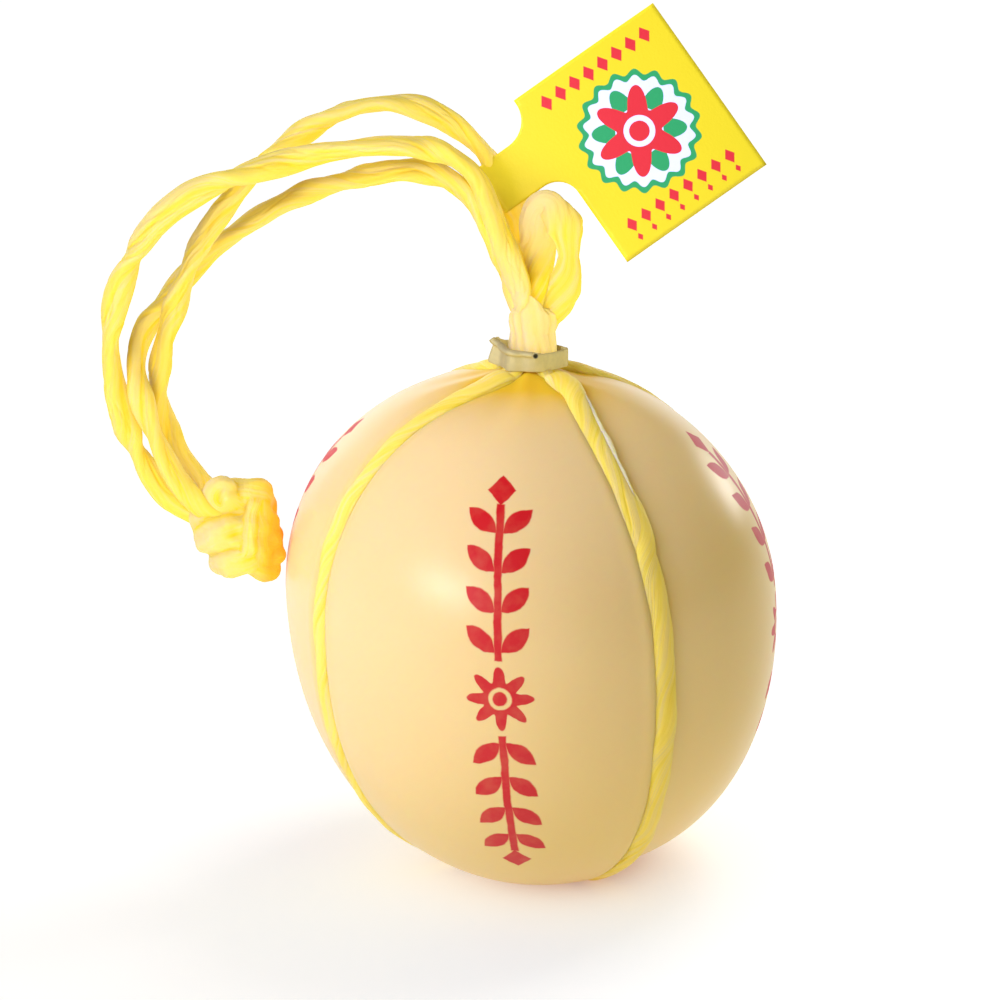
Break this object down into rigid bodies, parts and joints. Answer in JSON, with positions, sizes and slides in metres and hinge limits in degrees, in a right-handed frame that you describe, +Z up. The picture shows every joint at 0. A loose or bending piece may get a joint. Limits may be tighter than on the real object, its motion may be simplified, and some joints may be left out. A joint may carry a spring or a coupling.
{
  "type": "caciocavallo cheese",
  "caption": "Ball-shaped stretched-curd cheese in a twine sling with a crimped metal band at the top, long knotted twine strands to hang it by and a plain card tag.",
  "frame": {"origin": "on the ground under the middle of the ball, at the centre of the bottom of its box", "axes": "+Z up through the neck, -Y towards the front lobe, -X towards the hanging strands and their knot"},
  "size_m": [0.163, 0.1194, 0.211],
  "materials": {
    "cheese": "smooth waxy young cheese skin, cream yellow, with a red ornament stamped on each lobe",
    "twine": "yellow twisted flat-film polypropylene twine, slightly shiny",
    "band": "thin crimped aluminium strip, satin",
    "tag": "thin coated card printed with plain fields of yellow, green, white and red"
  },
  "bodies": {
    "root": {"cheese": "cheese", "sling_upper": "twine", "sling_lower": "twine", "band": "band", "neck": "twine", "bight": "twine", "strand_outer": "twine", "strand_middle": "twine", "strand_inner": "twine", "knot": "twine", "tag": "tag"}
  },
  "joints": []
}
